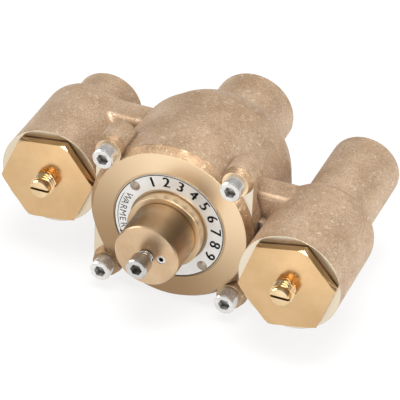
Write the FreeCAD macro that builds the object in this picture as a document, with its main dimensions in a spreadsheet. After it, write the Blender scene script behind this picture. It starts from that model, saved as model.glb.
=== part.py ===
import FreeCAD, Part
import math
import os
import re
import Sketcher

# Two-inlet water mixing valve with check stops, in millimetres.
# The origin is the centre of the outlet's mouth. +Y runs out of the outlet, -Y is the front with
# the adjusting cap, +X is the cold side, +Z is up. A depth is counted rearwards from the face of
# the dial plate, which lies outlet_depth in front of the origin.

SIZES = [
    ("outlet_depth", "103.0", "dial face to outlet mouth"),
    ("inlet_depth", "79.3", "dial face to inlet mouths"),
    ("port_offset", "61.8", "inlet axis from the valve axis"),
    ("running_gap", "0.05", "radial clearance of turned fits"),
    ("seal_gap", "0.05", "clearance of a seal to its bore"),
    # casting, barrel
    ("joint_depth", "4.2", "machined joint face of the casting"),
    ("barrel_radius", "38.1", "barrel at the joint face"),
    ("parting_depth", "22.6", "parting line of the barrel"),
    ("parting_rise", "0.3", "barrel at the parting line, over its front"),
    ("barrel_end_depth", "52.3", "rear rim of the barrel"),
    ("barrel_taper", "1.2", "barrel at its rear rim, under its front"),
    ("rim_step", "1.4", "step behind the rear rim"),
    ("dome_wall", "12.0", "bore shoulder to where the dome meets the outlet hub"),
    ("dome_arc", "24.0", "arc of the rear dome"),
    ("hub_radius", "19.05", "outlet hub"),
    ("mouth_chamfer", "0.8", "outer edges of the three mouths"),
    # casting, ears and flange
    ("ear_offset", "29.18", "cover screws from the axis, both ways"),
    ("ear_radius", "7.0", "ears at the joint"),
    ("ear_front_radius", "6.0", "ears at the cover face"),
    ("ear_length", "15.8", "ear bosses of the casting"),
    ("ear_round", "5.6", "rounding at the rear of an ear boss"),
    ("flange_thickness", "4.8", "flat side flange"),
    # casting, inlet housings
    ("hot_front", "13.3", "front rim depth of the hot housing"),
    ("cold_front", "17.0", "cold housing rim in front of the dial"),
    ("housing_radius", "22.9", "housing at its front"),
    ("housing_taper", "0.4", "housing at its shoulder, under its front"),
    ("housing_length", "42.5", "straight length of a housing"),
    ("shoulder_round", "5.0", "rounding of the shoulder"),
    ("shoulder_rise", "1.5", "shoulder from its rounding to the stub"),
    ("stub_radius", "16.1", "inlet stub"),
    # casting, arms
    ("arm_setback", "30.6", "arm behind the housing front"),
    ("arm_depth", "14.6", "arm along the valve axis"),
    ("arm_height", "37.4", "arm top to bottom"),
    ("arm_round", "2.5", "long edges of an arm"),
    ("hot_web_depth", "16.0", "front of the low web on the hot side"),
    ("cold_web_depth", "9.0", "front of the low web on the cold side"),
    ("hot_web_length", "30.0", "low web on the hot side along the valve axis"),
    ("cold_web_length", "19.5", "low web on the cold side along the valve axis"),
    ("web_height", "15.0", "low web between barrel and housing"),
    ("arm_fillet", "3.0", "cast fillet where arm and housing meet"),
    # casting, inside
    ("bore_radius", "25.0", "cartridge bore"),
    ("bore_end_depth", "62.0", "shoulder at the end of the bore"),
    ("throat_radius", "22.3", "mixing throat behind the bore"),
    ("throat_length", "3.0", "straight part of the throat"),
    ("neck_radius", "11.0", "waterway into the outlet"),
    ("throat_cone", "9.0", "cone from the throat into the outlet waterway"),
    ("outlet_bore", "11.7", "tapping bore of the outlet"),
    ("outlet_thread", "18.0", "tapped length of the outlet"),
    ("cold_gallery_depth", "15.0", "front of the cold gallery"),
    ("hot_gallery_depth", "44.0", "front of the hot gallery"),
    ("gallery_length", "13.0", "gallery along the axis"),
    ("cold_gallery_radius", "31.0", "cold gallery"),
    ("hot_gallery_radius", "30.0", "hot gallery"),
    ("duct_wall", "3.2", "arm wall round its duct"),
    ("cap_bore", "17.0", "tapped mouth of a housing"),
    ("cap_bore_length", "12.0", "depth of the tapped mouth"),
    ("chamber_radius", "15.5", "check chamber"),
    ("seat_depth", "43.0", "check seat behind the housing front"),
    ("inlet_bore", "9.13", "tapping bore of an inlet"),
    # cover
    ("cover_depth", "0.5", "machined front face of the cover"),
    ("cover_radius", "35.6", "front face of the cover"),
    ("collar_radius", "17.04", "raised collar of the cover"),
    ("collar_height", "5.65", "collar in front of the dial face"),
    ("pilot_radius", "24.9", "pilot of the cover in the bore"),
    ("pilot_depth", "13.0", "end of the pilot"),
    ("pilot_bore", "13.5", "inside of the pilot"),
    ("guide_depth", "7.5", "front end of the guide slots"),
    ("guide_reach", "18.2", "guide slots from the axis"),
    ("guide_width", "5.2", "guide slots"),
    ("journal_radius", "5.0", "spindle journal"),
    ("thrust_radius", "8.0", "thrust collar of the spindle"),
    ("thrust_length", "2.5", "thrust collar of the spindle"),
    ("thrust_depth", "4.7", "floor of the thrust recess"),
    ("recess_radius", "26.0", "dial recess in the cover"),
    ("recess_inner", "17.6", "inner edge of the dial recess"),
    # dial plate and rivets
    ("dial_radius", "25.3", "dial plate"),
    ("dial_inner", "18.0", "hole of the dial plate"),
    ("dial_thickness", "0.8", "dial plate"),
    ("rivet_offset", "22.8", "rivets from the axis"),
    ("rivet_radius", "2.35", "rivet heads"),
    ("rivet_height", "0.7", "rivet heads"),
    ("rivet_shank", "1.2", "rivet shanks"),
    ("rivet_length", "2.4", "rivet shanks below the plate"),
    # socket head screws
    ("screw_head", "4.7625", "head radius of the socket screws"),
    ("screw_height", "6.35", "head height of the socket screws"),
    ("screw_shank", "3.1", "shank of the socket screws"),
    ("screw_hole", "3.4", "clearance holes of the screws"),
    ("tapped_hole", "3.15", "tapped holes of the screws"),
    ("socket_corner", "2.75", "hexagon sockets, to the corner"),
    ("socket_depth", "3.1", "hexagon sockets"),
    ("head_chamfer", "0.5", "edge of the screw heads"),
    ("cover_screw_length", "15.5", "shank of the cover screws"),
    ("tapped_length", "14.0", "tapped holes in the ears"),
    # adjusting cap
    ("cap_radius", "14.6", "adjusting cap"),
    ("cap_face", "24.84", "cap face in front of the dial face"),
    ("cap_gap", "0.3", "cap to collar"),
    ("cap_chamfer", "0.6", "edges of the cap"),
    ("cap_wall", "2.8", "front wall of the cap"),
    ("cap_recess", "8.6", "clip recess in the back of the cap"),
    ("cap_recess_length", "3.2", "clip recess in the back of the cap"),
    ("spindle_nose", "4.4", "front end of the spindle"),
    ("nose_gap", "1.2", "spindle nose to the cap's wall"),
    ("cap_screw_length", "19.0", "shank of the central screw"),
    ("cap_screw_free", "4.71", "shank seen in front of the cap"),
    ("set_screw_offset", "6.73", "set screw from the axis"),
    ("set_screw_radius", "2.05", "set screw"),
    ("set_screw_length", "8.0", "set screw"),
    ("set_screw_sink", "0.3", "set screw below the cap face"),
    # spindle and drive
    ("clip_thickness", "0.9", "spindle clip"),
    ("clip_radius", "7.6", "spindle clip"),
    ("clip_groove", "4.0", "bottom of the clip groove"),
    ("ring_wire", "1.6", "wire of the small seal rings"),
    ("drive_radius", "6.0", "drive thread of the spindle"),
    ("drive_end_depth", "21.5", "rear end of the spindle"),
    ("nut_depth", "9.3", "front of the drive nut"),
    ("nut_length", "9.7", "threaded length of the drive nut"),
    ("nut_radius", "11.0", "drive nut"),
    ("lug_length", "3.0", "guide lugs of the drive nut"),
    ("lug_reach", "17.6", "guide lugs from the axis"),
    ("lug_width", "5.0", "guide lugs"),
    ("nut_cup", "9.2", "spring cup behind the nut"),
    ("nut_cup_length", "14.2", "spring cup behind the nut"),
    ("cup_spring_radius", "7.4", "coil radius of the overtravel spring"),
    ("cup_spring_wire", "1.5", "wire of the overtravel spring"),
    ("pad_thickness", "2.0", "thrust pad"),
    ("pad_clip_thickness", "1.0", "clip behind the thrust pad"),
    ("pad_clip_inner", "6.8", "hole of the pad clip"),
    ("cup_lip", "0.8", "cup wall behind the pad clip"),
    # thermal element
    ("piston_radius", "2.2", "piston of the element"),
    ("piston_length", "13.6", "piston of the element"),
    ("neck_length", "5.6", "guide neck of the capsule"),
    ("element_neck", "4.2", "guide neck of the capsule"),
    ("element_depth", "35.0", "front of the capsule"),
    ("element_flange", "9.5", "flange of the capsule"),
    ("element_flange_length", "2.0", "flange of the capsule"),
    ("element_bulb", "6.5", "bulb of the capsule"),
    ("element_bulb_length", "17.0", "bulb of the capsule"),
    ("element_bore_length", "11.6", "piston bore of the capsule"),
    # shuttle, liner, rear seat
    ("shuttle_depth", "21.5", "front edge of the shuttle"),
    ("shuttle_length", "27.0", "shuttle"),
    ("shuttle_gap", "0.08", "shuttle to liner"),
    ("shuttle_inner", "18.4", "inside of the shuttle"),
    ("spider_hub", "10.4", "hub of the shuttle's spider"),
    ("spider_length", "3.4", "spider along the axis"),
    ("spider_width", "3.0", "arms of the spider"),
    ("liner_inner", "21.2", "inside of the liner"),
    ("liner_wall_gap", "0.05", "liner to the casting's bore"),
    ("liner_front_gap", "0.3", "liner to the cover's pilot"),
    ("window_width", "16.0", "windows of the liner"),
    ("cold_window_depth", "15.6", "front edge of the cold windows"),
    ("cold_window_length", "7.6", "cold windows"),
    ("hot_window_depth", "46.6", "front edge of the hot windows"),
    ("hot_window_length", "8.4", "hot windows"),
    ("liner_seal_depth", "32.0", "first seal of the liner"),
    ("liner_seal_pitch", "6.0", "between the two liner seals"),
    ("large_wire", "1.8", "wire of the large seal rings"),
    ("cover_seal_depth", "9.0", "seal of the cover's pilot"),
    ("rear_seat_thickness", "2.0", "rear spring seat"),
    ("rear_hole_radius", "8.4", "centre hole of the rear seat"),
    ("flow_hole_radius", "2.9", "flow holes of the rear seat"),
    ("flow_hole_offset", "18.6", "flow holes from the axis"),
    ("return_coil_radius", "11.8", "coil radius of the return spring"),
    ("return_wire", "1.9", "wire of the return spring"),
    # check stops
    ("hex_corner", "22.0", "hexagon of a check cap, to the corner"),
    ("hex_thickness", "3.6", "hexagon of a check cap"),
    ("hex_chamfer", "1.2", "turned corners of the hexagon"),
    ("washer_thickness", "0.7", "sealing washer under the hexagon"),
    ("washer_radius", "18.6", "sealing washer"),
    ("cap_thread_gap", "0.1", "cap thread to its bore"),
    ("cap_thread_length", "11.0", "threaded skirt of a check cap"),
    ("hot_hex_turn", "7.4", "turn of the hot hexagon, degrees"),
    ("cold_hex_turn", "11.3", "turn of the cold hexagon, degrees"),
    ("spring_seat_inner", "9.4", "spring groove of a check cap"),
    ("spring_seat_outer", "12.2", "spring groove of a check cap"),
    ("spring_seat_length", "2.0", "spring groove of a check cap"),
    ("stem_radius", "4.45", "stop stem"),
    ("stem_reach", "7.7", "stop stem in front of the hexagon"),
    ("stem_collar", "8.0", "stop collar of the stem"),
    ("stem_collar_gap", "0.2", "stop collar to the cap"),
    ("stem_collar_length", "2.0", "stop collar of the stem"),
    ("stem_tube", "6.2", "pusher end of the stem"),
    ("stem_end_depth", "31.8", "pusher end behind the housing front"),
    ("stem_bore_length", "14.3", "guide bore in the stem"),
    ("stem_chamfer", "0.5", "front edge of the stem"),
    ("slot_width", "1.2", "screwdriver slot"),
    ("slot_depth", "1.6", "screwdriver slot"),
    ("stem_seal_depth", "4.0", "stem seal behind the housing front"),
    ("stem_wire", "1.4", "wire of the stem seal"),
    ("poppet_radius", "12.3", "check poppet"),
    ("poppet_thickness", "2.8", "check poppet"),
    ("poppet_guide", "3.0", "guide pin of the poppet"),
    ("poppet_guide_length", "13.8", "guide pin of the poppet"),
    ("poppet_seal_radius", "12.0", "rubber face of the poppet"),
    ("poppet_seal_thickness", "1.3", "rubber face of the poppet"),
    ("poppet_seal_gap", "0.1", "rubber face to the seat"),
    ("check_coil_radius", "10.8", "coil radius of the check spring"),
    ("check_wire", "1.6", "wire of the check spring"),
]

FACETS_A_TURN = 10
SKIN = 0.001
EDGE_SHARES = (0.2, 0.5, 0.8)
SPRING_GAP = 0.1

doc = FreeCAD.newDocument("mixing_valve")
sheet = doc.addObject("Spreadsheet::Sheet", "Sizes")
for row, (alias, text, note) in enumerate(SIZES, start=1):
    sheet.set("A%d" % row, note)
    sheet.set("B%d" % row, text)
    sheet.setAlias("B%d" % row, alias)
doc.recompute()

parts = []


def bound(text):
    """Put the sheet's name in front of every alias of an expression."""
    return re.sub(r"[a-z][a-z_]*", lambda word: "Sizes." + word.group(0), text)


def number(text):
    """Value of an expression of aliases."""
    return float(sheet.evalExpression(bound(text)))


def deep(text):
    """Position along Y of a depth behind the dial face."""
    return "%s - outlet_depth" % text


def place(piece, x, y, z):
    """Tie the place of a piece to the sheet."""
    for axis, text in zip("xyz", (x, y, z)):
        if text != "0":
            piece.setExpression("Placement.Base." + axis, bound(text))


def keep(piece, label):
    """Name a finished sub-part and list it for export."""
    piece.Label = label
    parts.append(piece)
    return piece


def arc(start, end, radius):
    """Arc from start to end; a positive radius has its centre on the left of the way."""
    chord = end.sub(start)
    half = chord.Length / 2
    side = 1 if radius > 0 else -1
    rise = math.sqrt(radius * radius - half * half)
    normal = FreeCAD.Vector(-chord.y, chord.x, 0).normalize()
    centre = start + chord * 0.5 + normal * (rise * side)
    first, last = (start, end) if radius > 0 else (end, start)
    angles = [math.atan2(p.y - centre.y, p.x - centre.x) for p in (first, last)]
    if angles[1] < angles[0]:
        angles[1] += 2 * math.pi
    circle = Part.Circle(centre, FreeCAD.Vector(0, 0, 1), abs(radius))
    return Part.ArcOfCircle(circle, angles[0], angles[1])


def draw(sketch, outline):
    """Closed outline of (across, along) pairs; a third entry bends the way to the next point."""
    points = [FreeCAD.Vector(number(p[0]), number(p[1]), 0) for p in outline]
    ends = []
    for i, point in enumerate(outline):
        start, end = points[i], points[(i + 1) % len(points)]
        if len(point) == 3:
            sign = -1 if point[2].startswith("-") else 1
            index = sketch.addGeometry(arc(start, end, number(point[2])), False)
            tie = sketch.addConstraint(Sketcher.Constraint("Radius", index, abs(number(point[2]))))
            sketch.setExpression("Constraints[%d]" % tie, bound(point[2].lstrip("-")))
            ends.append((index, 1, 2) if sign > 0 else (index, 2, 1))
        else:
            index = sketch.addGeometry(Part.LineSegment(start, end), False)
            ends.append((index, 1, 2))
    for i, point in enumerate(outline):
        index, first, _ = ends[i]
        before, _, last = ends[i - 1]
        sketch.addConstraint(Sketcher.Constraint("Coincident", before, last, index, first))
        for kind, axis, text in (("DistanceX", -2, point[0]), ("DistanceY", -1, point[1])):
            if text == "0":
                sketch.addConstraint(Sketcher.Constraint("PointOnObject", index, first, axis))
            else:
                rule = Sketcher.Constraint(kind, -1, 1, index, first, number(text))
                tie = sketch.addConstraint(rule)
                sketch.setExpression("Constraints[%d]" % tie, bound(text))


def turned(name, outline, x="0", y="0", z="0"):
    """Body turned about its own Y axis from an outline of (radius, length) pairs."""
    body = doc.addObject("PartDesign::Body", name)
    sketch = body.newObject("Sketcher::SketchObject", name + "_outline")
    plane = [face for face in body.Origin.OriginFeatures if face.Role == "XY_Plane"][0]
    sketch.AttachmentSupport = [(plane, "")]
    sketch.MapMode = "FlatFace"
    draw(sketch, outline)
    turn = body.newObject("PartDesign::Revolution", name + "_turn")
    turn.Profile = sketch
    turn.ReferenceAxis = (sketch, ["V_Axis"])
    turn.Angle = 360
    place(body, x, y, z)
    return body


def cylinder(name, radius, length, x="0", y="0", z="0"):
    """Cylinder along Y from its front end."""
    piece = doc.addObject("Part::Cylinder", name)
    piece.setExpression("Radius", bound(radius))
    piece.setExpression("Height", bound(length))
    piece.Placement.Rotation = FreeCAD.Rotation(FreeCAD.Vector(1, 0, 0), -90)
    place(piece, x, y, z)
    return piece


def hexagon(name, corner, length, x, y, z, turn=0.0):
    """Hexagonal bar along Y from its front end, turned anticlockwise as seen from the front."""
    piece = doc.addObject("Part::Prism", name)
    piece.Polygon = 6
    piece.setExpression("Circumradius", bound(corner))
    piece.setExpression("Height", bound(length))
    lay = FreeCAD.Rotation(FreeCAD.Vector(1, 0, 0), -90)
    piece.Placement.Rotation = lay.multiply(FreeCAD.Rotation(FreeCAD.Vector(0, 0, 1), -turn))
    place(piece, x, y, z)
    return piece


def block(name, x, y, z, length, width, height):
    """Box from its lowest corner."""
    piece = doc.addObject("Part::Box", name)
    piece.setExpression("Length", bound(length))
    piece.setExpression("Width", bound(width))
    piece.setExpression("Height", bound(height))
    place(piece, x, y, z)
    return piece


def ring(name, radius, wire, x, y, z):
    """Seal ring round the Y axis, centred on y."""
    piece = doc.addObject("Part::Torus", name)
    piece.setExpression("Radius1", bound(radius))
    piece.setExpression("Radius2", bound("(%s) / 2" % wire))
    piece.Placement.Rotation = FreeCAD.Rotation(FreeCAD.Vector(1, 0, 0), -90)
    place(piece, x, y, z)
    return piece


def fused(name, pieces):
    """One solid from several."""
    whole = doc.addObject("Part::MultiFuse", name)
    whole.Shapes = pieces
    whole.Refine = True
    return whole


def grouped(name, pieces):
    """Several loose solids under one name."""
    group = doc.addObject("Part::Compound", name)
    group.Links = pieces
    return group


def lies_on(point, pieces):
    """Whether a point lies on the skin of one of several solids."""
    spot = Part.Vertex(point)
    return any(piece.Shape.Shells[0].distToShape(spot)[0] < SKIN for piece in pieces)


def blended(name, ones, others, radius):
    """One solid from both, with a cast fillet along every edge where ones meet others."""
    base = fused(name + "_joined", others + ones)
    doc.recompute()
    chosen = []
    for index, edge in enumerate(base.Shape.Edges, start=1):
        first, last = edge.ParameterRange
        spots = [edge.valueAt(first + (last - first) * share) for share in EDGE_SHARES]
        if all(lies_on(spot, ones) and lies_on(spot, others) for spot in spots):
            chosen.append((index, number(radius), number(radius)))
    piece = doc.addObject("Part::Fillet", name)
    piece.Base = base
    piece.Edges = chosen
    return piece


def cut(name, base, tool):
    """Base less tool."""
    left = doc.addObject("Part::Cut", name)
    left.Base = base
    left.Tool = tool
    return left


def spring(name, coil, wire, length, turns, x, y, z):
    """Closed-end coil spring along Y, its wire drawn as short straight facets."""
    radius, thick, run = number(coil), number(wire), number(length)
    steps = int(turns * FACETS_A_TURN)
    rise = run - thick - 2 * SPRING_GAP
    path = []
    for step in range(steps + 1):
        turn = step / FACETS_A_TURN
        angle = 2 * math.pi * turn
        share = min(max((turn - 1) / (turns - 2), 0.0), 1.0)
        lead = thick * (min(turn, 1.0) + max(turn - turns + 1, 0.0))
        along = thick / 2 + SPRING_GAP + lead + share * (rise - 2 * thick)
        path.append(FreeCAD.Vector(radius * math.cos(angle), along, radius * math.sin(angle)))
    way = path[1] - path[0]
    section = Part.makePolygon(
        [path[0] + spoke for spoke in spokes(way, thick / 2, 6)]
    )
    coil_shape = Part.makePolygon(path).makePipeShell([section], True, False, 1)
    piece = doc.addObject("Part::Feature", name)
    piece.Shape = coil_shape
    place(piece, x, y, z)
    return piece


def spokes(way, radius, count):
    """Closed ring of vectors square to a direction."""
    across = way.cross(FreeCAD.Vector(0, 1, 0)).normalize()
    up = across.cross(way).normalize()
    angles = [2 * math.pi * i / count for i in range(count + 1)]
    ring_points = [across * (radius * math.cos(a)) + up * (radius * math.sin(a)) for a in angles[:-1]]
    return ring_points + [ring_points[0]]


def socket_screw(name, x, y, z, length):
    """Socket head screw along Y, y at the seat of its head."""
    outline = [
        ("0", "0"),
        ("screw_head - head_chamfer", "0"),
        ("screw_head", "head_chamfer"),
        ("screw_head", "screw_height"),
        ("screw_shank", "screw_height"),
        ("screw_shank", "screw_height + %s" % length),
        ("0", "screw_height + %s" % length),
    ]
    front = "%s - screw_height" % y
    blank = turned(name + "_blank", outline, x, front, z)
    socket = hexagon(name + "_socket", "socket_corner", "socket_depth", x, front, z)
    return cut(name, blank, socket)


EARS = [("ear_offset", "ear_offset"), ("-ear_offset", "ear_offset"),
        ("-ear_offset", "-ear_offset"), ("ear_offset", "-ear_offset")]
JOINT = deep("joint_depth")
INLETS = [("hot", "-port_offset", deep("hot_front"), "inlet_depth - hot_front"),
          ("cold", "port_offset", deep("-cold_front"), "inlet_depth + cold_front")]


def casting():
    """Bronze body: barrel, two housings, two arms, ears, and the waterways inside."""
    barrel = turned("barrel", [
        ("0", "0"),
        ("barrel_radius", "0"),
        ("barrel_radius + parting_rise", "parting_depth - joint_depth"),
        ("barrel_radius - barrel_taper", "barrel_end_depth - joint_depth"),
        ("barrel_radius - barrel_taper - rim_step", "barrel_end_depth + rim_step - joint_depth",
         "dome_arc"),
        ("hub_radius", "bore_end_depth + dome_wall - joint_depth"),
        ("hub_radius", "outlet_depth - mouth_chamfer - joint_depth"),
        ("hub_radius - mouth_chamfer", "outlet_depth - joint_depth"),
        ("0", "outlet_depth - joint_depth"),
    ], "0", JOINT)
    solids = [barrel]
    hollows = [turned("cartridge_bore", [
        ("0", "0"),
        ("bore_radius", "0"),
        ("bore_radius", "cold_gallery_depth - joint_depth"),
        ("cold_gallery_radius", "cold_gallery_depth - joint_depth"),
        ("cold_gallery_radius", "cold_gallery_depth + gallery_length - joint_depth"),
        ("bore_radius", "cold_gallery_depth + gallery_length - joint_depth"),
        ("bore_radius", "hot_gallery_depth - joint_depth"),
        ("hot_gallery_radius", "hot_gallery_depth - joint_depth"),
        ("hot_gallery_radius", "hot_gallery_depth + gallery_length - joint_depth"),
        ("bore_radius", "hot_gallery_depth + gallery_length - joint_depth"),
        ("bore_radius", "bore_end_depth - joint_depth"),
        ("throat_radius", "bore_end_depth - joint_depth"),
        ("throat_radius", "bore_end_depth + throat_length - joint_depth"),
        ("neck_radius", "bore_end_depth + throat_length + throat_cone - joint_depth"),
        ("neck_radius", "outlet_depth - outlet_thread - joint_depth"),
        ("outlet_bore", "outlet_depth - outlet_thread - joint_depth"),
        ("outlet_bore", "outlet_depth - joint_depth"),
        ("0", "outlet_depth - joint_depth"),
    ], "0", JOINT)]
    for side, x, front, mouth in INLETS:
        solids.append(turned(side + "_housing", [
            ("0", "0"),
            ("housing_radius", "0"),
            ("housing_radius - housing_taper", "housing_length", "shoulder_round"),
            ("housing_radius - housing_taper - shoulder_round", "housing_length + shoulder_round"),
            ("stub_radius", "housing_length + shoulder_round + shoulder_rise"),
            ("stub_radius", mouth + " - mouth_chamfer"),
            ("stub_radius - mouth_chamfer", mouth),
            ("0", mouth),
        ], x, front))
        hollows.append(turned(side + "_chamber", [
            ("0", "0"),
            ("cap_bore", "0"),
            ("cap_bore", "cap_bore_length"),
            ("chamber_radius", "cap_bore_length"),
            ("chamber_radius", "seat_depth"),
            ("inlet_bore", "seat_depth"),
            ("inlet_bore", mouth),
            ("0", mouth),
        ], x, front))
        low = "-port_offset" if side == "hot" else "0"
        arm = block(side + "_arm", low, front + " + arm_setback", "-arm_height / 2",
                    "port_offset", "arm_depth", "arm_height")
        doc.recompute()
        rounded = doc.addObject("Part::Fillet", side + "_arm_rounded")
        rounded.Base = arm
        long_edges = [i for i, edge in enumerate(arm.Shape.Edges, start=1)
                      if abs(edge.tangentAt(edge.FirstParameter).x) > 0.99]
        rounded.Edges = [(i, number("arm_round"), number("arm_round")) for i in long_edges]
        solids.append(rounded)
        solids.append(block(side + "_web", low, deep(side + "_web_depth"), "-web_height / 2",
                            "port_offset", side + "_web_length", "web_height"))
        hollows.append(block(side + "_duct", low, front + " + arm_setback + duct_wall",
                             "duct_wall * 2 - arm_height / 2", "port_offset",
                             "arm_depth - 2 * duct_wall", "arm_height - 4 * duct_wall"))
    for i, (x, z) in enumerate(EARS):
        solids.append(turned("ear_%d" % i, [
            ("0", "0"),
            ("ear_radius", "0"),
            ("ear_radius", "ear_length - ear_round", "ear_round"),
            ("ear_radius - ear_round", "ear_length"),
            ("0", "ear_length"),
        ], x, JOINT, z))
        hollows.append(cylinder("ear_hole_%d" % i, "tapped_hole", "tapped_length", x, JOINT, z))
    for i, low in enumerate(("-ear_offset - ear_radius", "0")):
        solids.append(block("flange_%d" % i, low, JOINT, "-ear_offset",
                            "ear_offset + ear_radius", "flange_thickness", "2 * ear_offset"))
    housings, arms = ([doc.getObject(side + end) for side, *_ in INLETS]
                      for end in ("_housing", "_arm_rounded"))
    plain = [piece for piece in solids if piece not in housings + arms]
    outside = fused("casting_outside", [blended("arm_ends", arms, housings, "arm_fillet")] + plain)
    inside = fused("casting_inside", hollows)
    return keep(cut("casting", outside, inside), "valve_body")


def cover():
    """Front cover with its ears, dial recess, collar, pilot, seal groove and guide slots."""
    disc = turned("cover_disc", [
        ("journal_radius + running_gap", "0"),
        ("collar_radius", "0"),
        ("collar_radius", "collar_height + cover_depth"),
        ("recess_inner", "collar_height + cover_depth"),
        ("recess_inner", "collar_height + dial_thickness"),
        ("recess_radius", "collar_height + dial_thickness"),
        ("recess_radius", "collar_height + cover_depth"),
        ("cover_radius", "collar_height + cover_depth"),
        ("barrel_radius", "collar_height + joint_depth"),
        ("pilot_radius", "collar_height + joint_depth"),
        ("pilot_radius", "collar_height + cover_seal_depth - large_wire / 2 - seal_gap"),
        ("bore_radius - seal_gap - large_wire - seal_gap",
         "collar_height + cover_seal_depth - large_wire / 2 - seal_gap"),
        ("bore_radius - seal_gap - large_wire - seal_gap",
         "collar_height + cover_seal_depth + large_wire / 2 + seal_gap"),
        ("pilot_radius", "collar_height + cover_seal_depth + large_wire / 2 + seal_gap"),
        ("pilot_radius", "collar_height + pilot_depth"),
        ("pilot_bore", "collar_height + pilot_depth"),
        ("pilot_bore", "collar_height + guide_depth"),
        ("thrust_radius + cap_gap", "collar_height + guide_depth"),
        ("thrust_radius + cap_gap", "collar_height + thrust_depth"),
        ("journal_radius + running_gap", "collar_height + thrust_depth"),
    ], "0", deep("-collar_height"))
    solids = [disc]
    holes = []
    for i, (x, z) in enumerate(EARS):
        solids.append(turned("cover_ear_%d" % i, [
            ("0", "0"),
            ("ear_front_radius", "0"),
            ("ear_radius", "joint_depth - cover_depth"),
            ("0", "joint_depth - cover_depth"),
        ], x, deep("cover_depth"), z))
        holes.append(cylinder("cover_hole_%d" % i, "screw_hole", "joint_depth - cover_depth",
                              x, deep("cover_depth"), z))
    for i, (x, z) in enumerate(RIVETS):
        holes.append(cylinder("rivet_hole_%d" % i, "rivet_shank", "rivet_length",
                              x, deep("dial_thickness"), z))
    holes.append(block("guide_slots", "-guide_reach", deep("guide_depth"), "-guide_width / 2",
                       "2 * guide_reach", "pilot_depth - guide_depth", "guide_width"))
    whole = cut("cover", fused("cover_solid", solids), fused("cover_holes", holes))
    keep(whole, "front_cover")
    keep(ring("cover_seal_ring", "bore_radius - seal_gap - large_wire / 2", "large_wire",
              "0", deep("cover_seal_depth"), "0"), "cover_seal")
    screws = [socket_screw("cover_screw_%d" % i, x, deep("cover_depth"), z, "cover_screw_length")
              for i, (x, z) in enumerate(EARS)]
    keep(grouped("cover_screw_set", screws), "cover_screws")


RIVETS = [("-rivet_offset * 0.7071", "rivet_offset * 0.7071"),
          ("rivet_offset * 0.7071", "-rivet_offset * 0.7071")]
RIVET_CROWN = "(rivet_radius * rivet_radius + rivet_height * rivet_height) / (2 * rivet_height)"


def dial():
    """Flat ring plate held by two rivets."""
    plate = turned("dial_ring", [
        ("dial_inner", "0"),
        ("dial_radius", "0"),
        ("dial_radius", "dial_thickness"),
        ("dial_inner", "dial_thickness"),
    ], "0", deep("0"))
    holes = [cylinder("dial_hole_%d" % i, "rivet_shank", "dial_thickness", x, deep("0"), z)
             for i, (x, z) in enumerate(RIVETS)]
    keep(cut("dial", plate, fused("dial_holes", holes)), "dial_plate")
    rivets = [turned("rivet_%d" % i, [
        ("0", "0", RIVET_CROWN),
        ("rivet_radius", "rivet_height"),
        ("rivet_shank", "rivet_height"),
        ("rivet_shank", "rivet_height + dial_thickness + rivet_length"),
        ("0", "rivet_height + dial_thickness + rivet_length"),
    ], x, deep("-rivet_height"), z) for i, (x, z) in enumerate(RIVETS)]
    keep(grouped("rivet_pair", rivets), "dial_rivets")


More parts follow.
